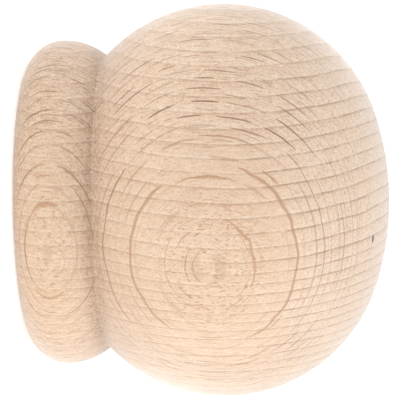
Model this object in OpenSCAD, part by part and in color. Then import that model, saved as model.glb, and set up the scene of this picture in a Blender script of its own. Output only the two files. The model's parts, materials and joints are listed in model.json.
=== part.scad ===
// Turned beech ball finial for the end of a 28 mm wooden pole.
// Frame: origin at the centre of the back face, +Z along the turning axis towards the tip.
// The clamping screw sits in the collar on the +Y side, on an axis parallel to Y.

/* [Ball] */
// Diameter of the ball at its widest
ball_d = 50; // [48:0.5:54]
// Height of the widest circle above the back face
ball_z = 24.8; // [24:0.1:27]
// Radius of the arc that forms the side of the ball
side_arc_r = 20.3; // [19.5:0.1:22]
// Radius of the flatter arc that closes the tip
tip_arc_r = 35.6; // [30:0.1:40]

/* [Collar] */
// Diameter of the rounded collar at its crest
collar_d = 41.4; // [40:0.1:43]
// Radius of the collar's back corner, which is also the height of its crest
collar_back_r = 4.6; // [4:0.1:5.5]
// Radius of the collar's front flank, which runs down into the groove
collar_front_r = 8.4; // [7:0.1:9]

/* [Pole socket] */
// Diameter of the socket for a 28 mm pole
socket_d = 28.4; // [26:0.1:28.6]
// Depth of the socket from the back face
socket_depth = 20; // [16:0.5:24]
// Width of the chamfer round the socket's mouth
mouth_chamfer = 0.6; // [0.2:0.1:1]
// Diameter of the centre mark that the boring bit leaves in the socket's floor
bit_mark_d = 2.4; // [1:0.1:4]

/* [Clamping screw] */
// Height of the screw's axis above the back face
screw_z = 5.5; // [5:0.1:6]
// Diameter of the M4 screw over its thread crests
screw_d = 3.9; // [3.84:0.01:3.96]
// Length of the screw with its cone point
screw_len = 5; // [4.5:0.1:5.2]
// Key size of the hexagon socket
hex_key = 2; // [1.5:0.1:2.2]
// Depth of the hexagon socket
hex_depth = 2.4; // [1.5:0.1:2.6]

/* [Threaded insert] */
// Diameter of the insert's threaded bore
insert_bore_d = 4; // [3.98:0.01:4.04]
// Diameter of the insert over its knurl
knurl_d = 6.2; // [6:0.1:6.4]
// Diameter of the hole that the insert is pressed into
insert_hole_d = 5.8; // [5.6:0.1:5.9]
// Length of the insert
insert_len = 5; // [4.5:0.1:5]
// Number of teeth round the knurl
knurl_teeth = 24; // [16:1:32]

/* [Hidden] */
$fn = 96;
ball_r = ball_d / 2;
collar_r = collar_d / 2;
socket_r = socket_d / 2;
// the flat back face ends where the collar's back corner begins
flat_r = collar_r - collar_back_r;
// the side arc's centre stands off the axis, and the tip arc is tangent to it
side_centre_r = ball_r - side_arc_r;
tip_rise = sqrt(pow(tip_arc_r - side_arc_r, 2) - pow(side_centre_r, 2));
tip_centre_z = ball_z - tip_rise;
tip_angle = atan2(side_centre_r, tip_rise);
body_len = tip_centre_z + tip_arc_r;
// the insert stays clear of the socket's wall by this much
insert_setback = 0.2;
insert_y = socket_r + insert_setback;
insert_chamfer = 0.3;
knurl_depth = 0.35;
knurl_band = 1.7;
knurl_end_gap = 0.4;
insert_root_r = knurl_d / 2 - knurl_depth;
screw_r = screw_d / 2;
screw_chamfer = 0.35;
point_r = 0.3;
point_len = screw_r - point_r;
hex_r = hex_key / 2 / cos(30);
bit_mark_depth = 1;
eps = 0.01;

// The wedge of the tip arc's circle between the axis and its tangent point
module tip_outline() {
  reach = 2 * tip_arc_r;
  translate([0, tip_centre_z])
    intersection() {
      circle(r = tip_arc_r);
      polygon([[0, 0], [reach * sin(tip_angle), reach * cos(tip_angle)], [0, reach]]);
    }
}

// Half section of the solid turning, radius along X and height along Y
module turned_outline() {
  intersection() {
    square([ball_d, body_len + 1]);
    union() {
      square([flat_r, ball_z]);
      translate([flat_r, collar_back_r])
        circle(r = collar_back_r);
      translate([collar_r - collar_front_r, collar_back_r])
        circle(r = collar_front_r);
      translate([side_centre_r, ball_z])
        circle(r = side_arc_r);
      tip_outline();
    }
  }
}

// The bored space that the pole's end goes into
module pole_socket() {
  translate([0, 0, -eps])
    cylinder(r = socket_r, h = socket_depth + eps);
  translate([0, 0, -eps])
    cylinder(r1 = socket_r + mouth_chamfer + eps, r2 = socket_r, h = mouth_chamfer + eps);
  translate([0, 0, socket_depth - eps])
    cylinder(r1 = bit_mark_d / 2, r2 = 0, h = bit_mark_depth);
}

// Places children on the screw's axis, with their +Z pointing out of the collar
module on_screw_axis(y) {
  translate([0, y, screw_z])
    rotate([-90, 0, 0])
      children();
}

// Ball, collar and groove turned from one piece of beech
module turned_body() {
  color("burlywood")
    difference() {
      rotate_extrude()
        turned_outline();
      pole_socket();
      on_screw_axis(socket_r / 2)
        cylinder(d = insert_hole_d, h = collar_r);
    }
}

// One straight-knurled band that bites into the wood
module knurl() {
  step = 180 / knurl_teeth;
  linear_extrude(height = knurl_band)
    polygon([
      for (i = [0 : 2 * knurl_teeth - 1])
        let (r = knurl_d / 2 - (i % 2) * knurl_depth)
          [r * cos(i * step), r * sin(i * step)]
    ]);
}

// Brass press-in insert that carries the screw's thread
module threaded_insert() {
  color("goldenrod")
    on_screw_axis(insert_y)
      difference() {
        union() {
          cylinder(r = insert_root_r, h = insert_len);
          translate([0, 0, knurl_end_gap])
            knurl();
          translate([0, 0, insert_len - knurl_end_gap - knurl_band])
            knurl();
        }
        translate([0, 0, -eps])
          cylinder(d = insert_bore_d, h = insert_len + 2 * eps);
        translate([0, 0, insert_len - insert_chamfer])
          cylinder(
            r1 = insert_bore_d / 2,
            r2 = insert_bore_d / 2 + insert_chamfer + eps,
            h = insert_chamfer + eps
          );
      }
}

// Cone-point grub screw, its point towards the pole and its hexagon socket outwards
module grub_screw() {
  color("dimgray")
    on_screw_axis(insert_y)
      difference() {
        rotate_extrude()
          polygon([
            [0, 0],
            [point_r, 0],
            [screw_r, point_len],
            [screw_r, screw_len - screw_chamfer],
            [screw_r - screw_chamfer, screw_len],
            [0, screw_len]
          ]);
        translate([0, 0, screw_len - hex_depth])
          cylinder(r = hex_r, h = hex_depth + eps, $fn = 6);
      }
}

turned_body();
threaded_insert();
grub_screw();
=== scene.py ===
import json
import math

import bmesh
import bpy
from mathutils import Matrix, Vector


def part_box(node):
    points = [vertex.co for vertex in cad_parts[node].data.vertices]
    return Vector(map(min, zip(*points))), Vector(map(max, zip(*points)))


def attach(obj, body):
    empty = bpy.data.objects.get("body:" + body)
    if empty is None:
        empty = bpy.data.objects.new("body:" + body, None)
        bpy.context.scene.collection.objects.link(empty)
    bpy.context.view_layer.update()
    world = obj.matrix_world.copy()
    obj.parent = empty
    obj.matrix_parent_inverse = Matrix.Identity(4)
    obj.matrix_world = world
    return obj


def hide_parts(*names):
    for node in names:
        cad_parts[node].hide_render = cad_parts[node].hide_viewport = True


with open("model.json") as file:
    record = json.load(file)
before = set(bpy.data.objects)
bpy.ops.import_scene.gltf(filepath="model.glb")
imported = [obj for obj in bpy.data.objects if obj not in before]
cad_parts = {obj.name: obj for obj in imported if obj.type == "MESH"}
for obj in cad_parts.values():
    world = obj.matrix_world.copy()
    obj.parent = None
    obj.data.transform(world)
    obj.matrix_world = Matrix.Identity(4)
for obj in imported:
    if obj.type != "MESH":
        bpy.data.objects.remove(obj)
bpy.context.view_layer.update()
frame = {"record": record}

MM = 0.001

# ---------------------------------------------------------------- sizes, in metres
BODY_LOW, BODY_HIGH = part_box("turned_body")
INSERT_LOW, INSERT_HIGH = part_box("threaded_insert")
SCREW_LOW, SCREW_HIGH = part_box("grub_screw")
MOUNTS = {mount["name"]: mount for mount in frame["record"]["mounts"]}

LENGTH = BODY_HIGH.z
BALL_R = (BODY_HIGH.x - BODY_LOW.x) / 2
BALL_Z = 24.8 * MM
SIDE_ARC_R = 20.3 * MM
TIP_ARC_R = 35.6 * MM
COLLAR_R = 20.7 * MM
COLLAR_BACK_R = 4.6 * MM
COLLAR_FRONT_R = 8.4 * MM
GROOVE_FILLET_R = 0.25 * MM
SOCKET_R = MOUNTS["pole_socket"]["dims"]["r_mm"] * MM
MOUTH_CHAMFER = 0.6 * MM
SOCKET_DEPTH = MOUNTS["pole_socket"]["dims"]["length_mm"] * MM + MOUTH_CHAMFER
BIT_MARK_R = 1.2 * MM
BIT_MARK_DEPTH = 1.0 * MM
INSERT_HOLE_R = 2.9 * MM
HOLE_OVERSHOOT = 1 * MM
# 380 sides keep the turning's mesh under 200,000 triangles
BODY_SEGMENTS = 380
ARC_STEP = 0.3 * MM
SOCKET_FLOOR_STEP = 4 * MM
SOCKET_WALL_STEP = 1 * MM
DRILL_SEGMENTS = 96

SCREW_AXIS_Z = (SCREW_LOW.z + SCREW_HIGH.z) / 2
SCREW_LEN = SCREW_HIGH.y - SCREW_LOW.y
SCREW_R = (SCREW_HIGH.x - SCREW_LOW.x) / 2
INSERT_LEN = INSERT_HIGH.y - INSERT_LOW.y
KNURL_R = (INSERT_HIGH.x - INSERT_LOW.x) / 2
KNURL_TEETH = 24
KNURL_DEPTH = 0.35 * MM
KNURL_BAND = 1.7 * MM
KNURL_END_GAP = 0.4 * MM
POINTS_PER_TOOTH = 8
INSERT_BORE_R = 2.0 * MM
INSERT_EDGE = 0.1 * MM
BORE_CHAMFER = 0.3 * MM
THREAD_PITCH = 0.7 * MM
THREAD_DEPTH = 0.38 * MM
THREAD_FADE = 0.35 * MM
THREAD_STEP = 0.04 * MM
# the thread's outline: how steep its flanks are, and how wide its crest is
THREAD_SLOPE = 1.25
THREAD_CREST = 0.12
SCREW_SEGMENTS = 120
POINT_R = 0.3 * MM
POINT_DISH = 0.02 * MM
# the screw's rounded head edge, as (in from the side, down from the end)
HEAD_EDGE = [(0.3 * MM, 0.03 * MM), (0.36 * MM, 0)]
HEX_APOTHEM = 1.0 * MM
HEX_DEPTH = 2.4 * MM
HEX_CHAMFER = 0.08 * MM
HEX_FLOOR_CONE = 0.5 * MM

# edges sharper than this, in degrees, stay sharp
SHARP_WOOD = 40
SHARP_BRASS = 30
SHARP_STEEL = 35
MERGE_DISTANCE = 1e-8


# ---------------------------------------------------------------- mesh helpers
def arc(centre, radius, start, end):
    """Points (radius, height) along an arc. Angles are in degrees from the turning axis."""
    count = max(3, math.ceil(radius * math.radians(abs(end - start)) / ARC_STEP))
    points = []
    for i in range(count + 1):
        a = math.radians(start + (end - start) * i / count)
        points.append((centre[0] + radius * math.sin(a), centre[1] + radius * math.cos(a)))
    return points


def straight(start, end, step):
    """Points from start to end, both included, no further apart than step."""
    count = max(1, math.ceil(math.dist(start, end) / step))
    return [
        tuple(a + (b - a) * i / count for a, b in zip(start, end))
        for i in range(count + 1)
    ]


def turned(name, stations, segments):
    """A closed turning about Z. A station is (radius, height). A radius may be a function of the angle."""
    verts, rings = [], []
    for radius, height in stations:
        if radius == 0:
            rings.append([len(verts)])
            verts.append((0, 0, height))
            continue
        ring = []
        for s in range(segments):
            a = 2 * math.pi * s / segments
            r = radius(a) if callable(radius) else radius
            ring.append(len(verts))
            verts.append((r * math.cos(a), r * math.sin(a), height))
        rings.append(ring)
    faces = []
    for low, high in zip(rings, rings[1:]):
        for s in range(segments):
            t = (s + 1) % segments
            if len(low) == 1:
                faces.append((low[0], high[t], high[s]))
            elif len(high) == 1:
                faces.append((low[s], low[t], high[0]))
            else:
                faces.append((low[s], low[t], high[t], high[s]))
    if len(rings[0]) > 1 and len(rings[-1]) > 1:
        for s in range(segments):
            t = (s + 1) % segments
            faces.append((rings[-1][s], rings[-1][t], rings[0][t], rings[0][s]))
    mesh = bpy.data.meshes.new(name)
    mesh.from_pydata(verts, [], faces)
    piece = bpy.data.objects.new(name, mesh)
    bpy.context.scene.collection.objects.link(piece)
    return piece


def smooth(piece, sharp_angle):
    """Smooth shading that breaks at edges sharper than sharp_angle degrees."""
    piece.data.shade_smooth()
    piece.data.set_sharp_from_angle(angle=math.radians(sharp_angle))


def finish_mesh(piece, sharp_angle):
    """Joins points that coincide, turns the normals outward and shades the piece."""
    work = bmesh.new()
    work.from_mesh(piece.data)
    bmesh.ops.remove_doubles(work, verts=work.verts, dist=MERGE_DISTANCE)
    bmesh.ops.recalc_face_normals(work, faces=work.faces)
    work.to_mesh(piece.data)
    work.free()
    smooth(piece, sharp_angle)


def put_on_screw_axis(piece, start_y):
    """Turns a piece made along +Z so that it runs along +Y from start_y on the screw's axis."""
    turn = Matrix.Rotation(math.radians(-90), 4, "X")
    piece.data.transform(Matrix.Translation((0, start_y, SCREW_AXIS_Z)) @ turn)


# ---------------------------------------------------------------- the wooden turning
# centres of the arcs in the half section, as (radius, height)
BACK_CENTRE = (COLLAR_R - COLLAR_BACK_R, COLLAR_BACK_R)
FRONT_CENTRE = (COLLAR_R - COLLAR_FRONT_R, COLLAR_BACK_R)
SIDE_CENTRE = (BALL_R - SIDE_ARC_R, BALL_Z)


def groove_centre():
    """Centre of the fillet that touches the collar's front arc and the ball's side arc from outside."""
    front, side = FRONT_CENTRE, SIDE_CENTRE
    reach_front = COLLAR_FRONT_R + GROOVE_FILLET_R
    reach_side = SIDE_ARC_R + GROOVE_FILLET_R
    gap = math.dist(front, side)
    along = (reach_front ** 2 - reach_side ** 2 + gap ** 2) / (2 * gap)
    off = math.sqrt(reach_front ** 2 - along ** 2)
    ux, uz = (side[0] - front[0]) / gap, (side[1] - front[1]) / gap
    return (front[0] + along * ux + off * uz, front[1] + along * uz - off * ux)


def body_outline():
    """Half section from the socket's floor, out through the mouth, over collar and ball to the tip."""
    back, front, side, fillet = BACK_CENTRE, FRONT_CENTRE, SIDE_CENTRE, groove_centre()
    rise = math.sqrt((TIP_ARC_R - SIDE_ARC_R) ** 2 - side[0] ** 2)
    tip = (0, BALL_Z - rise)
    tip_angle = math.degrees(math.atan2(side[0], rise))

    def heading(start, end):
        return math.degrees(math.atan2(end[0] - start[0], end[1] - start[1]))

    front_end = heading(front, fillet)
    side_start = heading(side, fillet)
    outline = [(0, SOCKET_DEPTH + BIT_MARK_DEPTH), (BIT_MARK_R, SOCKET_DEPTH)]
    outline += straight(outline[-1], (SOCKET_R, SOCKET_DEPTH), SOCKET_FLOOR_STEP)[1:]
    outline += straight(outline[-1], (SOCKET_R, MOUTH_CHAMFER), SOCKET_WALL_STEP)[1:]
    outline += [(SOCKET_R + MOUTH_CHAMFER, 0)]
    outline += arc(back, COLLAR_BACK_R, 180, 90)
    outline += arc(front, COLLAR_FRONT_R, 90, front_end)[1:]
    outline += arc(fillet, GROOVE_FILLET_R, 180 + front_end, 180 + side_start)[1:-1]
    outline += arc(side, SIDE_ARC_R, side_start, tip_angle)
    outline += arc(tip, TIP_ARC_R, tip_angle, 0)[1:-1]
    return outline + [(0, LENGTH)]


def cut_hole(piece, radius, start_y, end_y):
    """Cuts the round hole for the insert, along the screw's axis."""
    depth = end_y - start_y
    drill = turned("drill", [(0, 0), (radius, 0), (radius, depth), (0, depth)], DRILL_SEGMENTS)
    put_on_screw_axis(drill, start_y)
    finish_mesh(drill, SHARP_WOOD)
    cut = piece.modifiers.new("hole", "BOOLEAN")
    cut.operation = "DIFFERENCE"
    cut.solver = "EXACT"
    cut.object = drill
    evaluated = piece.evaluated_get(bpy.context.evaluated_depsgraph_get())
    drilled = bpy.data.meshes.new_from_object(evaluated)
    piece.modifiers.clear()
    piece.data = drilled
    bpy.data.objects.remove(drill, do_unlink=True)


def make_turning():
    piece = turned("beech_turning", body_outline(), BODY_SEGMENTS)
    finish_mesh(piece, SHARP_WOOD)
    cut_hole(piece, INSERT_HOLE_R, SOCKET_R / 2, COLLAR_R + HOLE_OVERSHOOT)
    smooth(piece, SHARP_WOOD)
    return piece


# ---------------------------------------------------------------- the brass insert
def make_insert():
    def toothed(a):
        phase = (a * KNURL_TEETH / (2 * math.pi)) % 1
        return KNURL_R - KNURL_DEPTH * abs(2 * phase - 1)

    root = KNURL_R - KNURL_DEPTH
    bands = [KNURL_END_GAP, INSERT_LEN - KNURL_END_GAP - KNURL_BAND]
    stations = [(INSERT_BORE_R, 0), (root - INSERT_EDGE, 0), (root, INSERT_EDGE)]
    for start in bands:
        end = start + KNURL_BAND
        stations += [(root, start), (toothed, start), (toothed, end), (root, end)]
    stations += [(root, INSERT_LEN - INSERT_EDGE), (root - INSERT_EDGE, INSERT_LEN)]
    stations += [(INSERT_BORE_R + BORE_CHAMFER, INSERT_LEN), (INSERT_BORE_R, INSERT_LEN - BORE_CHAMFER)]
    piece = turned("brass_insert", stations, POINTS_PER_TOOTH * KNURL_TEETH)
    finish_mesh(piece, SHARP_BRASS)
    put_on_screw_axis(piece, INSERT_LOW.y)
    return piece


# ---------------------------------------------------------------- the grub screw
def make_screw():
    thread_start = SCREW_R - POINT_R
    thread_end = SCREW_LEN - THREAD_FADE

    def threaded(height):
        def radius(a):
            phase = (height / THREAD_PITCH - a / (2 * math.pi)) % 1
            cut = min(1, max(0, (1 - abs(2 * phase - 1)) * THREAD_SLOPE - THREAD_CREST))
            ends = min(1, (height - thread_start) / THREAD_FADE, (thread_end - height) / THREAD_FADE)
            return SCREW_R - THREAD_DEPTH * cut * max(0, ends)
        return radius

    def hexagon(a):
        return HEX_APOTHEM / math.cos((a % math.radians(60)) - math.radians(30))

    stations = [(0, 0), (POINT_R, POINT_DISH), (SCREW_R, thread_start)]
    steps = math.ceil((thread_end - thread_start) / THREAD_STEP)
    for i in range(1, steps):
        height = thread_start + (thread_end - thread_start) * i / steps
        stations.append((threaded(height), height))
    stations.append((SCREW_R, thread_end))
    stations += [(SCREW_R - inward, SCREW_LEN - down) for inward, down in HEAD_EDGE]
    stations += [(lambda a: hexagon(a) + HEX_CHAMFER, SCREW_LEN), (hexagon, SCREW_LEN - HEX_CHAMFER)]
    floor = SCREW_LEN - HEX_DEPTH
    stations += [(hexagon, floor), (0, floor - HEX_FLOOR_CONE)]
    piece = turned("set_screw", stations, SCREW_SEGMENTS)
    finish_mesh(piece, SHARP_STEEL)
    put_on_screw_axis(piece, SCREW_LOW.y)
    return piece


# ---------------------------------------------------------------- material helpers
# what a wood colour is multiplied by, since the studio's light shows the wood brighter than it is
WOOD_ALBEDO = 0.648


def srgb(r, g, b):
    """A colour given in 0..255 display values, as the linear RGBA that shaders use."""
    def linear(v):
        v /= 255
        return v / 12.92 if v <= 0.04045 else ((v + 0.055) / 1.055) ** 2.4
    return (linear(r), linear(g), linear(b), 1)


def wood(r, g, b):
    """A wood colour given as it looks in the studio's light, in 0..255 display values."""
    return tuple(v * WOOD_ALBEDO for v in srgb(r, g, b)[:3]) + (1,)


class Graph:
    """Short calls for building one material's nodes."""

    def __init__(self, name):
        self.material = bpy.data.materials.new(name)
        self.material.use_nodes = True
        self.tree = self.material.node_tree
        self.shader = self.tree.nodes["Principled BSDF"]

    def feed(self, socket, value):
        if isinstance(value, bpy.types.NodeSocket):
            self.tree.links.new(value, socket)
        else:
            socket.default_value = value

    def math(self, operation, *values):
        node = self.tree.nodes.new("ShaderNodeMath")
        node.operation = operation
        for socket, value in zip(node.inputs, values):
            self.feed(socket, value)
        return node.outputs[0]

    def add(self, a, b):
        return self.math("ADD", a, b)

    def sub(self, a, b):
        return self.math("SUBTRACT", a, b)

    def mul(self, a, b):
        return self.math("MULTIPLY", a, b)

    def hypot(self, a, b):
        return self.math("SQRT", self.add(self.mul(a, a), self.mul(b, b)))

    def blend(self, start, end, amount):
        """The number start where amount is 0, and the number end where it is 1."""
        return self.add(start, self.mul(amount, end - start))

    def span(self, name, value):
        """0 to 1 over the range that SPANS gives for name."""
        return self.step(*SPANS[name], value)

    def weight(self, name, amount):
        """A factor between the two that WEIGHTS gives for name."""
        return self.blend(*WEIGHTS[name], amount)

    def greatest(self, values):
        found = values[0]
        for value in values[1:]:
            found = self.math("MAXIMUM", found, value)
        return found

    def step(self, low, high, value):
        """0 at low and 1 at high, smooth between. low may be above high."""
        node = self.tree.nodes.new("ShaderNodeMapRange")
        node.interpolation_type = "SMOOTHSTEP"
        self.feed(node.inputs["Value"], value)
        self.feed(node.inputs["From Min"], low)
        self.feed(node.inputs["From Max"], high)
        return node.outputs[0]

    def vector(self, x, y, z):
        node = self.tree.nodes.new("ShaderNodeCombineXYZ")
        for socket, value in zip(node.inputs, (x, y, z)):
            self.feed(socket, value)
        return node.outputs[0]

    def noise(self, vector, scale, detail=2.0, roughness=0.5):
        node = self.tree.nodes.new("ShaderNodeTexNoise")
        self.feed(node.inputs["Vector"], vector)
        node.inputs["Scale"].default_value = scale
        node.inputs["Detail"].default_value = detail
        node.inputs["Roughness"].default_value = roughness
        return node.outputs[0]

    def random(self, x, y=0.0, z=0.0):
        """A fixed random number from 0 to 1 for each set of whole numbers."""
        node = self.tree.nodes.new("ShaderNodeTexWhiteNoise")
        node.noise_dimensions = "3D"
        self.feed(node.inputs["Vector"], self.vector(x, y, z))
        return node.outputs["Value"]

    def mix(self, amount, a, b):
        node = self.tree.nodes.new("ShaderNodeMix")
        node.data_type = "RGBA"
        self.feed(node.inputs["Factor"], amount)
        self.feed(node.inputs["A"], a)
        self.feed(node.inputs["B"], b)
        return node.outputs["Result"]

    def dot(self, vector, direction):
        node = self.tree.nodes.new("ShaderNodeVectorMath")
        node.operation = "DOT_PRODUCT"
        self.feed(node.inputs[0], vector)
        node.inputs[1].default_value = direction
        return node.outputs["Value"]

    def position(self):
        return self.tree.nodes.new("ShaderNodeTexCoord").outputs["Object"]

    def normal(self):
        return self.tree.nodes.new("ShaderNodeTexCoord").outputs["Normal"]

    def bump(self, height, distance):
        node = self.tree.nodes.new("ShaderNodeBump")
        node.inputs["Strength"].default_value = 1.0
        node.inputs["Distance"].default_value = distance
        self.feed(node.inputs["Height"], height)
        self.feed(self.shader.inputs["Normal"], node.outputs[0])


# ---------------------------------------------------------------- beech
# Lengths in the wood's pattern are in millimetres. The grain runs along the turning axis, and the pith of the
# log lies to the side at PITH_DISTANCE, so the rings are wide arcs and the rays fan out from the pith.
GRAIN_TURN = math.radians(3.8)
PITH_DISTANCE = 97.0
PITH_SIDE = 0.4
OUTWARD = Vector((-math.cos(GRAIN_TURN), -math.sin(GRAIN_TURN), 0)) / MM
SIDEWAYS = Vector((math.sin(GRAIN_TURN), -math.cos(GRAIN_TURN), 0)) / MM
GRAIN_LEAN = 0.036
RING_WIDTH = 1.47
# slow and quick changes of ring width: how many rings they add up to, over what distance, where they start
RING_SWELLS = [(0.70, 43.0, 2.28), (0.15, 17.5, 2.99)]
RING_WAVE = 0.5
RING_START = 0.85
# single broad rays that show as arcs on the face of the ball and of the collar:
# place across the rays, middle (along the grain, out from the axis), reach (along, out), thickness
FEATURE_RAYS = [
    (22.7, (32.0, -2.0), (4.8, 17.0), 0.32),
    (23.1, (17.0, -3.5), (3.8, 12.0), 0.30),
    (20.4, (37.0, -1.0), (2.5, 12.0), 0.15),
    (17.9, (40.5, -4.0), (2.0, 8.0), 0.14),
    (24.9, (29.5, -1.0), (2.0, 5.0), 0.12),
    (23.4, (24.5, 7.0), (3.5, 3.0), 0.18),
    (21.2, (27.0, 12.0), (3.5, 4.0), 0.16),
    (20.6, (11.5, -3.5), (1.5, 8.0), 0.18),
    (20.6, (4.5, 2.5), (1.6, 2.0), 0.24),
    (20.3, (4.5, -9.0), (2.0, 1.5), 0.24),
    (19.4, (9.0, 1.5), (1.5, 6.0), 0.14),
]
# a short dark pin hole near the tip, and its half length along the rays
FLAW_PLACE = (5.1, -10.5, 43.9)
FLAW_REACH = (0.62, 0.5, 0.3)


# how far a feature ray wanders, in mm, how quickly, and how much of its thickness is solid
FEATURE_RIPPLE = 0.45
FEATURE_RIPPLE_SCALE = 0.3
FEATURE_CORE = 0.35
# sheets of lesser rays: spacing, greatest length, thickness, share of the length they fill, seed, raggedness
RAY_SHEETS = {
    "broad": (0.95, 5.4, 0.19, 0.85, 3.0, 0.06),
    "middle": (0.65, 3.4, 0.13, 0.5, 20.0, 0.06),
    "fine": (0.32, 1.8, 0.07, 0.55, 40.0, 0.06),
    "finest": (0.13, 2.6, 0.028, 0.6, 60.0, 0.02),
}
# slow drift of a sheet, in spacings, with its scale along the grain and out, and the step from seed to seed
RAY_DRIFT = 1.6
RAY_DRIFT_SCALE = (0.06, 0.03)
RAY_SEED_STEP = 7.3
# scale of a sheet's quick ripple along the grain, out and across
RAY_RIPPLE_SCALE = (0.6, 1.3, 0.5)
# how many lengths apart two sheets may start, what each random number is drawn with, and how solid a ray is
RAY_STAGGER = 37.0
RAY_DRAWS = {"start": 11, "there": 3, "reach": 5, "strength": 9}
RAY_CORE = 0.4
RAY_STRENGTH_POWER = 1.3
# draws one random number for each year's ring
YEAR_SEED = 2.0

# noise: scale per mm (out, across, along), detail and roughness
PATTERNS = {
    "ring_wave": ((0.06, 0.10, 0.06), 1.5, 0.5),
    "ring_patch": ((0.5, 0.35, 0.25), 2.0, 0.5),
    "streak": ((3.4, 3.4, 0.7), 3.0, 0.75),
    "speck": ((6.0, 6.0, 4.0), 1.0, 0.5),
    "tone": ((0.10, 0.10, 0.05), 2.0, 0.5),
    "flame": ((0.8, 0.8, 0.16), 2.0, 0.5),
    "fleck": ((4.4, 1.5, 1.7), 2.0, 0.6),
    "torn": ((1.6, 1.6, 3.0), 3.0, 0.7),
}
# where each thing begins and where it is full
SPANS = {
    # how squarely the surface faces: across the rays' sheets, to the pith, which is the side of the low and
    # key lights, and to or from the tip
    "cut_across": (0.97, 0.72),
    "nearly_across": (0.98, 0.85),
    "barely_across": (0.99, 0.93),
    "well_across": (0.95, 0.6),
    "flat_on": (0.90, 0.98),
    "finest_flat_on": (0.90, 0.96),
    "faces_out": (0.5, 0.85),
    "faces_lit_side": (0.0, -0.6),
    "end_grain": (0.1, 0.65),
    "tip_side": (0.35, 0.8),
    "tip_or_side": (-0.1, 0.6),
    # place along the grain, in mm
    "on_ball": (8.0, 13.0),
    # collar: where the painted shade and warm bounced light lie, from full at the back to none on the ball
    "collar": (22.0, 4.0),
    # tip: where the painted highlight lies
    "tip": (26.0, 40.0),
    "below_groove": (7.0, 11.0),
    "above_groove": (19.0, 11.0),
    # part of a year's ring
    "late": (0.3, 1.0),
    "early": (0.22, 0.03),
    "line_rise": (0.80, 0.94),
    "line_fall": (1.0, 0.98),
    # level of a noise
    "ring_patch": (0.35, 0.62),
    "tone": (0.35, 0.65),
    "flame": (0.3, 0.7),
    "dark_streak": (0.50, 0.72),
    "light_streak": (0.48, 0.28),
    "dark_speck": (0.5, 0.75),
    "light_speck": (0.5, 0.25),
    "fleck": (0.55, 0.66),
    "fibre_streak": (0.62, 0.40),
    "fibre_speck": (0.65, 0.40),
    "raised_streak": (0.6, 0.4),
    "torn": (0.5, 0.66),
    # distance from the bottom of the groove in metres, depth in it, and way out of the pin hole, squared
    "groove": (2.6 * MM, 0.3 * MM),
    "deep_in_groove": (0.35, 0.8),
    "pin_hole": (1.0, 0.3),
}
# factors: where the thing they depend on is 0, and where it is 1
WEIGHTS = {
    "ray_centre": (0.25, 0.75),
    "ray_reach": (0.35, 0.95),
    "ray_strength": (0.4, 1.0),
    "late_by_year": (0.3, 1.0),
    "late_on_end_grain": (0.6, 0.8),
    "late_across": (0.6, 1.0),
    "line_by_patch": (0.3, 1.0),
    "line_to_tip": (0.5, 1.0),
    "line_facing_out": (1.0, 0.6),
    "line_on_ball": (0.45, 1.0),
    "line_across": (0.75, 1.0),
    "vessels_across": (0.62, 1.0),
    # painted light: vessels fade where the surface faces the low and key lights
    "vessels_fade_lit_side": (1.0, 0.85),
    "vessels_on_ball": (1.25, 1.0),
    "small_rays_across": (0.35, 1.0),
    "middle_rays_on_ball": (0.95, 0.60),
    "fibres": (0.15, 1.0),
    "rays_to_tip": (1.0, 0.5),
    # painted light: rays fade where the surface faces the low and key lights
    "rays_fade_lit_side": (1.0, 0.75),
}
MIDDLE_RAYS_END_LOSS = 0.3
FEATURE_LEAST = 0.75

# the bare wood's two tones, then what is laid over it: colour in the studio's light, greatest strength
BARE_WOOD = (243, 215, 188), (239, 208, 180)
LAYERS = {
    "flame": ((231, 198, 168), 0.5),
    # collar: painted shade and warm bounced light, darker and warmer towards the collar
    "collar": ((228, 190, 156), 0.22),
    # tip: painted highlight, the wood paler towards the tip where the surface faces along the grain
    "tip": ((243, 223, 206), 0.4),
    "early": ((250, 228, 203), 0.4),
    "late": ((212, 174, 142), 0.65),
    "line": ((152, 120, 94), 0.66),
    "dark_streak": ((196, 158, 126), 0.75),
    "light_streak": ((255, 238, 216), 0.7),
    "dark_speck": ((192, 152, 122), 0.5),
    "light_speck": ((255, 240, 220), 0.4),
    "fleck": ((197, 149, 111), 0.72),
    "finest": ((184, 132, 94), 1.0),
    # groove: painted shade in the bottom of the groove; groove_shade: painted shade in a band on both sides
    # of it
    "groove": ((168, 134, 104), 0.04),
    "groove_shade": ((178, 146, 122), 0.14),
    "torn": ((150, 122, 98), 0.4),
    "pin_hole": ((56, 42, 34), 0.95),
}
# rays: colour where the surface runs along them, colour where it cuts across them, greatest strength
RAY_LAYERS = {
    "fine": ((212, 172, 138), (152, 112, 80), 0.35),
    "middle": ((212, 172, 138), (152, 112, 80), 1.0),
    "broad": ((188, 144, 108), (138, 101, 71), 0.9),
    "feature": ((198, 152, 116), (158, 116, 82), 0.9),
}
WOOD_ROUGHNESS = 0.56
STREAK_ROUGHNESS = 0.2
RAY_GLOSS = 0.08
WOOD_SPECULAR = 0.35
WOOD_SHEEN = 0.8
WOOD_SHEEN_ROUGHNESS = 0.3
LINE_RELIEF = 0.5
WOOD_RELIEF = 0.02 * MM


def pattern(g, log, name):
    """One noise of PATTERNS, in the log's own coordinates."""
    across, along, out = log
    scales, detail, roughness = PATTERNS[name]
    scaled = [g.mul(value, scale) for value, scale in zip((out, across, along), scales)]
    return g.noise(g.vector(*scaled), 1.0, detail, roughness)


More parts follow.
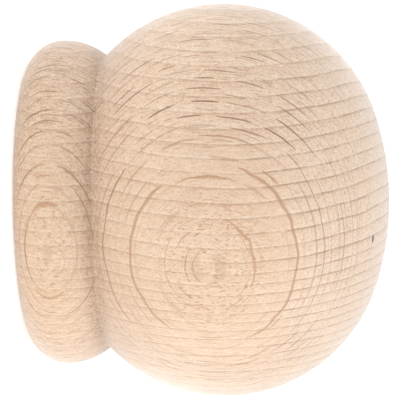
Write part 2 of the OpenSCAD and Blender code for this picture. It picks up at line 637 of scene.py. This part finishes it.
def ray_sheets(g, log, spacing, length, thickness, share, seed, ragged):
    """Thin upright sheets of ray tissue: 0 outside, 1 in the middle of a ray.

    They lie spacing apart across the log, are up to length long, and fill about share of that length."""
    across, along, out = log
    drift_along, drift_out = RAY_DRIFT_SCALE
    slow = g.vector(g.mul(along, drift_along), g.mul(out, drift_out), seed * RAY_SEED_STEP)
    drift = g.noise(slow, 1.0, 1.0)
    ripple_along, ripple_out, ripple_across = RAY_RIPPLE_SCALE
    third = g.add(g.mul(across, ripple_across), seed)
    ripple = g.noise(g.vector(g.mul(along, ripple_along), g.mul(out, ripple_out), third), 1.0, 2.0)
    bent = g.add(g.mul(drift, RAY_DRIFT), g.mul(ripple, ragged / spacing * 2))
    layer = g.add(g.math("DIVIDE", across, spacing), bent)
    index = g.math("FLOOR", layer)
    centre = g.weight("ray_centre", g.random(index, seed))
    off = g.math("ABSOLUTE", g.sub(g.math("FRACT", layer), centre))
    start = g.mul(g.random(index, seed + RAY_DRAWS["start"]), RAY_STAGGER)
    run = g.add(g.math("DIVIDE", along, length), start)
    cell = g.math("FLOOR", run)
    there = g.math("GREATER_THAN", g.random(index, cell, seed + RAY_DRAWS["there"]), 1 - share)
    reach = g.weight("ray_reach", g.random(index, cell, seed + RAY_DRAWS["reach"]))
    middle = g.math("DIVIDE", g.sub(g.math("FRACT", run), 0.5), g.mul(reach, 0.5))
    taper = g.math("SQRT", g.math("MAXIMUM", g.sub(1.0, g.mul(middle, middle)), 0.0))
    half = g.mul(taper, thickness / 2 / spacing)
    inside = g.step(half, g.mul(half, RAY_CORE), off)
    drawn = g.random(index, cell, seed + RAY_DRAWS["strength"])
    strength = g.weight("ray_strength", g.math("POWER", drawn, RAY_STRENGTH_POWER))
    return g.mul(g.mul(inside, there), strength)


def one_ray(g, log, place, middle, reach, thickness):
    """One broad ray, as FEATURE_RAYS gives it."""
    across, along, out = log
    wander = [g.mul(value, FEATURE_RIPPLE_SCALE) for value in (along, out)]
    ripple = g.noise(g.vector(*wander, place), 1.0, 3.0)
    bent = g.add(across, g.mul(g.sub(ripple, 0.5), FEATURE_RIPPLE))
    off = g.math("ABSOLUTE", g.sub(bent, place))
    far = [
        g.math("DIVIDE", g.sub(value, centre), size)
        for value, centre, size in zip((along, out), middle, reach)
    ]
    rim = g.add(g.mul(far[0], far[0]), g.mul(far[1], far[1]))
    half = g.mul(g.math("SQRT", g.math("MAXIMUM", g.sub(1.0, rim), 0.0)), thickness / 2)
    return g.step(half, g.mul(half, FEATURE_CORE), off)


def growth_rings(g, log):
    """The ring number, a whole number where one year's wood ends, with uneven widths and a slight wave."""
    out = log[2]
    wave = g.sub(pattern(g, log, "ring_wave"), 0.5)
    ring = g.add(g.math("DIVIDE", out, RING_WIDTH), g.mul(wave, RING_WAVE))
    for rings, distance, start in RING_SWELLS:
        turn = g.add(g.mul(out, 2 * math.pi / distance), start)
        ring = g.add(ring, g.mul(g.math("SINE", turn), rings))
    return g.add(ring, RING_START)


def groove_tone(g, place):
    """Where the groove between collar and ball gets painted shade, and where its torn grain lies: 1 in its
    bottom, 0 away from it.
    """
    radius, height = groove_centre()
    from_axis = g.hypot(g.dot(place, (1, 0, 0)), g.dot(place, (0, 1, 0)))
    aside = g.sub(from_axis, radius)
    above = g.sub(g.dot(place, (0, 0, 1)), height)
    return g.span("groove", g.hypot(aside, above))


def flaw(g, place):
    """The pin hole: 1 in it, 0 away from it."""
    squares = None
    for axis, centre, reach in zip(((1, 0, 0), (0, 1, 0), (0, 0, 1)), FLAW_PLACE, FLAW_REACH):
        far = g.mul(g.sub(g.dot(place, axis), centre * MM), 1 / (reach * MM))
        square = g.mul(far, far)
        squares = square if squares is None else g.add(squares, square)
    return g.span("pin_hole", squares)


def beech():
    g = Graph("raw_beech")
    place = g.position()
    along = g.dot(place, Vector((0, 0, 1)) / MM)
    sideways = g.add(g.dot(place, SIDEWAYS), PITH_SIDE)
    from_pith = g.add(g.dot(place, OUTWARD), PITH_DISTANCE)
    from_pith = g.add(from_pith, g.mul(g.sub(along, LENGTH / MM / 2), GRAIN_LEAN))
    radius = g.hypot(from_pith, sideways)
    out = g.sub(radius, PITH_DISTANCE)
    across = g.mul(g.math("ARCTAN2", sideways, from_pith), PITH_DISTANCE)
    log = (across, along, out)
    noise = {name: pattern(g, log, name) for name in PATTERNS if name != "ring_wave"}

    # how squarely the surface faces out from the pith, along the rays' edges, and along the grain
    normal = g.normal()
    normal_out = g.dot(normal, OUTWARD * MM)
    normal_side = g.dot(normal, SIDEWAYS * MM)
    facing = g.add(g.mul(normal_out, from_pith), g.mul(normal_side, sideways))
    faces_out = g.math("ABSOLUTE", g.math("DIVIDE", facing, radius))
    # the side towards the pith, which faces the low and key lights; marks fade there as painted light
    faces_lit_side = g.span("faces_lit_side", normal_out)
    square_to_rays = g.sub(g.mul(normal_side, from_pith), g.mul(normal_out, sideways))
    along_rays = g.math("ABSOLUTE", g.math("DIVIDE", square_to_rays, radius))
    cut_across = g.span("cut_across", along_rays)
    nearly_across = g.span("nearly_across", along_rays)
    faces_tip = g.dot(normal, (0, 0, 1))
    end_grain = g.span("end_grain", g.math("ABSOLUTE", faces_tip))
    on_ball = g.span("on_ball", along)

    # late wood darkens towards the line where a year ends
    ring = growth_rings(g, log)
    within = g.math("FRACT", ring)
    year = g.random(g.math("FLOOR", ring), YEAR_SEED)
    late = g.mul(g.span("late", within), g.weight("late_by_year", year))
    late = g.mul(late, g.weight("late_on_end_grain", end_grain))
    late = g.mul(late, g.weight("late_across", nearly_across))
    line = g.mul(g.span("line_rise", within), g.span("line_fall", within))
    line = g.mul(line, g.weight("line_by_patch", g.span("ring_patch", noise["ring_patch"])))
    line = g.mul(line, g.weight("line_to_tip", g.span("tip_or_side", faces_tip)))
    line = g.mul(line, g.weight("line_facing_out", g.span("faces_out", faces_out)))
    line = g.mul(line, g.weight("line_on_ball", on_ball))
    line = g.mul(line, g.weight("line_across", nearly_across))

    rays = {name: ray_sheets(g, log, *sheet) for name, sheet in RAY_SHEETS.items()}
    rays["feature"] = g.greatest([one_ray(g, log, *ray) for ray in FEATURE_RAYS])

    # vessels: fine streaks along the grain that show as dots on end grain
    vessels = g.weight("vessels_across", g.span("well_across", along_rays))
    # painted light: vessels fade where the surface faces the low and key lights
    vessels = g.mul(vessels, g.weight("vessels_fade_lit_side", faces_lit_side))
    vessels = g.mul(vessels, g.weight("vessels_on_ball", on_ball))

    def marks(name, source):
        return g.mul(g.span(name, noise[source]), vessels)

    deep = groove_tone(g, place)
    under_rays = {
        "flame": g.span("flame", noise["flame"]),
        # painted shade and warm bounced light: darker and warmer towards the collar
        "collar": g.span("collar", along),
        # painted highlight: paler towards the tip, where the light washes the rim out
        "tip": g.mul(end_grain, g.span("tip", along)),
        "early": g.span("early", within),
        "late": late,
        "line": line,
        "dark_streak": marks("dark_streak", "streak"),
        "light_streak": marks("light_streak", "streak"),
        "dark_speck": marks("dark_speck", "speck"),
        "light_speck": marks("light_speck", "speck"),
        "fleck": g.mul(g.span("fleck", noise["fleck"]), g.span("flat_on", along_rays)),
        "finest": g.mul(rays["finest"], g.span("finest_flat_on", along_rays)),
    }
    over_rays = {
        # painted shade: darker in the groove's bottom and in a band around the groove
        "groove": deep,
        "groove_shade": g.mul(g.span("above_groove", along), g.span("below_groove", along)),
        "torn": g.mul(g.span("torn", noise["torn"]), g.span("deep_in_groove", deep)),
        "pin_hole": flaw(g, place),
    }

    # rays look fibrous and faint where the surface runs along them, dark and crisp where it cuts across them
    small = g.weight("small_rays_across", g.span("barely_across", along_rays))
    end_loss = g.mul(end_grain, MIDDLE_RAYS_END_LOSS)
    middle_shown = g.sub(g.weight("middle_rays_on_ball", on_ball), end_loss)
    fibres = g.mul(g.span("fibre_streak", noise["streak"]), g.span("fibre_speck", noise["speck"]))
    fibres = g.weight("fibres", fibres)
    crisp = g.add(fibres, g.mul(cut_across, g.sub(1.0, fibres)))
    crisp = g.mul(crisp, g.weight("rays_to_tip", g.span("tip_side", faces_tip)))
    # painted light: rays fade where the surface faces the low and key lights
    crisp = g.mul(crisp, g.weight("rays_fade_lit_side", faces_lit_side))
    ray_amounts = {
        "fine": g.mul(rays["fine"], small),
        "middle": g.mul(g.mul(rays["middle"], small), middle_shown),
        "broad": g.mul(rays["broad"], crisp),
        "feature": g.mul(rays["feature"], g.math("MAXIMUM", crisp, FEATURE_LEAST)),
    }

    def lay(colour, amounts):
        for name, amount in amounts.items():
            tint, strength = LAYERS[name]
            colour = g.mix(g.mul(amount, strength), colour, wood(*tint))
        return colour

    colour = g.mix(g.span("tone", noise["tone"]), *[wood(*tone) for tone in BARE_WOOD])
    colour = lay(colour, under_rays)
    for name, amount in ray_amounts.items():
        run_along, cut, strength = RAY_LAYERS[name]
        tint = g.mix(cut_across, wood(*run_along), wood(*cut))
        colour = g.mix(g.mul(amount, strength), colour, tint)
    g.feed(g.shader.inputs["Base Color"], lay(colour, over_rays))

    rough = g.add(WOOD_ROUGHNESS, g.mul(g.sub(noise["streak"], 0.5), STREAK_ROUGHNESS))
    g.feed(g.shader.inputs["Roughness"], g.sub(rough, g.mul(rays["broad"], RAY_GLOSS)))
    g.shader.inputs["Specular IOR Level"].default_value = WOOD_SPECULAR
    g.shader.inputs["Sheen Weight"].default_value = WOOD_SHEEN
    g.shader.inputs["Sheen Roughness"].default_value = WOOD_SHEEN_ROUGHNESS
    height = g.sub(g.span("raised_streak", noise["streak"]), g.mul(line, LINE_RELIEF))
    g.bump(height, WOOD_RELIEF)
    return g.material


# ---------------------------------------------------------------- metals and floor
# scale of the polish and of the tint (per metre), two colours, least and greatest roughness, bump height
METALS = {
    "machined_brass": (9000.0, 700.0, (226, 189, 112), (205, 160, 84), (0.24, 0.40), 0.01 * MM),
    "bright_steel": (12000.0, 900.0, (190, 192, 197), (158, 160, 166), (0.26, 0.46), 0.008 * MM),
}
FLOOR_GREY = 0.86
FLOOR_ROUGHNESS = 0.9
FLOOR_SPECULAR = 0.1
FLOOR_GLOW = 0.55


def metal(name):
    polish_scale, tint_scale, light, dark, roughness, relief = METALS[name]
    g = Graph(name)
    place = g.position()
    polish = g.noise(place, polish_scale, 3.0)
    tint = g.noise(place, tint_scale, 2.0)
    g.feed(g.shader.inputs["Base Color"], g.mix(tint, srgb(*light), srgb(*dark)))
    g.feed(g.shader.inputs["Roughness"], g.blend(*roughness, polish))
    g.shader.inputs["Metallic"].default_value = 1.0
    g.bump(polish, relief)
    return g.material


def floor_material():
    g = Graph("white_sweep")
    g.shader.inputs["Base Color"].default_value = (FLOOR_GREY, FLOOR_GREY, FLOOR_GREY, 1)
    g.shader.inputs["Roughness"].default_value = FLOOR_ROUGHNESS
    g.shader.inputs["Specular IOR Level"].default_value = FLOOR_SPECULAR
    g.shader.inputs["Emission Color"].default_value = (1, 1, 1, 1)
    g.shader.inputs["Emission Strength"].default_value = FLOOR_GLOW
    return g.material


def give(piece, material):
    piece.data.materials.clear()
    piece.data.materials.append(material)


# ---------------------------------------------------------------- camera, light and floor
CAMERA_DISTANCE = 350 * MM
CAMERA_AIM = Vector((0, 0, 21.68)) * MM
CAMERA_ROLL = math.radians(-0.74)
TIP_FORWARD = math.radians(4.7)
SENSOR_WIDTH = 36
CLIP_START = 0.01
CLIP_END = 50
# width of the frame, and how much of it shows one millimetre at the aim point, in pixels
FRAME_PIXELS = 400
PIXELS_PER_MM = 7.822
# name, place, diameter and power, then colour
LIGHTS = [
    ("key", (0.38, -0.13, 0.60), 0.5, 2.65, (1.0, 0.985, 0.965)),
    ("fill", (-0.52, -0.06, 0.38), 0.5, 0.7, (1, 1, 1)),
    ("low", (0.66, -0.14, 0.10), 0.4, 0.85, (1, 1, 1)),
]
FLOOR_HALF = 6.0


def make_camera():
    """A long lens in line with the collar, the tip turned a little towards it, +Z to the right."""
    data = bpy.data.cameras.new("camera")
    camera = bpy.data.objects.new("camera", data)
    bpy.context.scene.collection.objects.link(camera)
    data.sensor_width = SENSOR_WIDTH
    data.lens = data.sensor_width * CAMERA_DISTANCE / (FRAME_PIXELS / PIXELS_PER_MM * MM)
    back = Vector((0, -math.cos(TIP_FORWARD), math.sin(TIP_FORWARD)))
    right = Vector((0, math.sin(TIP_FORWARD), math.cos(TIP_FORWARD)))
    up = back.cross(right)
    right, up = (
        right * math.cos(CAMERA_ROLL) + up * math.sin(CAMERA_ROLL),
        up * math.cos(CAMERA_ROLL) - right * math.sin(CAMERA_ROLL),
    )
    turn = Matrix((right, up, back)).transposed().to_4x4()
    camera.matrix_world = Matrix.Translation(CAMERA_AIM + back * CAMERA_DISTANCE) @ turn
    data.clip_start = CLIP_START
    data.clip_end = CLIP_END
    bpy.context.scene.camera = camera


def soft_light(name, place, size, power, colour):
    data = bpy.data.lights.new(name, "AREA")
    data.shape = "DISK"
    data.size = size
    data.energy = power
    data.color = colour
    light = bpy.data.objects.new(name, data)
    bpy.context.scene.collection.objects.link(light)
    light.location = place
    aim = Vector((0, 0, LENGTH / 2)) - Vector(place)
    light.rotation_mode = "QUATERNION"
    light.rotation_quaternion = aim.to_track_quat("-Z", "Y")


def make_studio():
    half = FLOOR_HALF
    mesh = bpy.data.meshes.new("floor")
    corners = [(-half, -half, 0), (half, -half, 0), (half, half, 0), (-half, half, 0)]
    mesh.from_pydata(corners, [], [(0, 1, 2, 3)])
    floor = bpy.data.objects.new("floor", mesh)
    bpy.context.scene.collection.objects.link(floor)
    floor.data.materials.append(floor_material())
    for light in LIGHTS:
        soft_light(*light)
    world = bpy.data.worlds.new("world")
    bpy.context.scene.world = world
    world.use_nodes = True
    sky = world.node_tree.nodes["Background"]
    sky.inputs["Color"].default_value = (1, 1, 1, 1)
    sky.inputs["Strength"].default_value = 1.0
    bpy.context.scene.view_settings.view_transform = "Standard"


make_camera()
make_studio()

turning = make_turning()
give(turning, beech())
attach(turning, "finial")
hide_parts("turned_body")

insert = make_insert()
give(insert, metal("machined_brass"))
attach(insert, "finial")
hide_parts("threaded_insert")

screw = make_screw()
give(screw, metal("bright_steel"))
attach(screw, "screw")
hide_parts("grub_screw")
